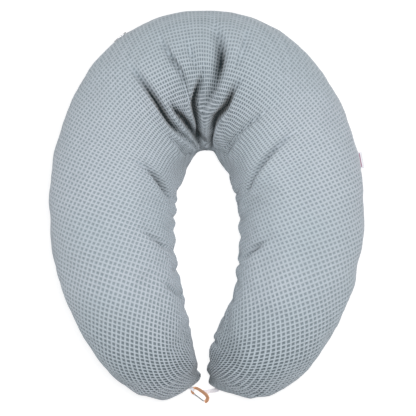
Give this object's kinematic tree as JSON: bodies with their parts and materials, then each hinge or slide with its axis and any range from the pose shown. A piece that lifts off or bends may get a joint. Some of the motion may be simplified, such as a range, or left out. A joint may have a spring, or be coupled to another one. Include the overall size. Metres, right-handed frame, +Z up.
{
  "type": "nursing pillow",
  "caption": "Horseshoe nursing pillow lying flat: stuffed tube bent into a closed C, textured cotton cover with outer zip, side tag, and snap hook between the tips.",
  "frame": {"origin": "middle of the overall box, on the surface that the pillow lies on", "axes": "+Z up, +Y towards the crown, the two tips meet towards -Y, +X towards the flank with the tag"},
  "size_m": [0.5688, 0.7219, 0.1902],
  "materials": {
    "waffle_cotton": "grey-blue cotton waffle weave, matt",
    "casing_cotton": "plain natural cotton, matt",
    "filling_fibre": "white fibre fill, matt",
    "zip_tape": "woven polyester tape, matt",
    "zip_nylon": "moulded nylon coil",
    "steel": "nickel-plated, satin",
    "copper": "copper-coloured plating, satin",
    "satin_ribbon": "white satin ribbon",
    "woven_tag": "white woven label",
    "thread": "mauve sewing thread"
  },
  "bodies": {
    "crown": {"cover_top_crown": "waffle_cotton", "cover_base_crown": "waffle_cotton", "inner_casing_crown": "casing_cotton", "filling_crown": "filling_fibre", "zip_tape_upper": "zip_tape", "zip_tape_lower": "zip_tape", "zip_teeth_upper": "zip_nylon", "zip_teeth_lower": "zip_nylon", "zip_stop_left": "steel", "zip_stop_right": "steel"},
    "left_arm": {"cover_top_left": "waffle_cotton", "cover_base_left": "waffle_cotton", "inner_casing_left": "casing_cotton", "filling_left": "filling_fibre", "hook_ribbon": "satin_ribbon", "hook_bar_tack": "thread"},
    "right_arm": {"cover_top_right": "waffle_cotton", "cover_base_right": "waffle_cotton", "inner_casing_right": "casing_cotton", "filling_right": "filling_fibre", "catch_ribbon": "satin_ribbon", "side_tag": "woven_tag", "side_tag_stitch": "thread"},
    "hook": {"hook_body": "copper", "hook_gate_pin": "steel"},
    "gate": {"hook_gate": "steel"},
    "slider": {"zip_slider": "steel"},
    "pull": {"zip_pull": "steel"}
  },
  "joints": [
    {"name": "left_arm_open", "type": "hinge", "parent": "crown", "child": "left_arm", "pos_m": [-0.2674, 0.12, 0.078], "axis": [0, 0, -1], "range_deg": [0, 30]},
    {"name": "right_arm_open", "type": "hinge", "parent": "crown", "child": "right_arm", "pos_m": [0.2674, 0.12, 0.078], "axis": [0, 0, 1], "range_deg": [0, 30]},
    {"name": "zip_run", "type": "hinge", "parent": "crown", "child": "slider", "pos_m": [0, 0.099, 0.0671], "axis": [0, 0, -1], "range_deg": [0, 76]},
    {"name": "zip_pull_flip", "type": "hinge", "parent": "slider", "child": "pull", "pos_m": [-0.1616, 0.3059, 0.0671], "axis": [0, 0, 1], "range_deg": [0, 165]},
    {"name": "hook_lift", "type": "hinge", "parent": "left_arm", "child": "hook", "pos_m": [-0.03058, -0.33602, 0.021], "axis": [-0.6561, -0.7547, 0], "range_deg": [0, 90]},
    {"name": "gate_open", "type": "hinge", "parent": "hook", "child": "gate", "pos_m": [-0.0282, -0.34512, 0.01754], "axis": [0.307, -0.2668, 0.9135], "range_deg": [0, 15], "stiffness_Nm_per_rad": 0.02}
  ]
}
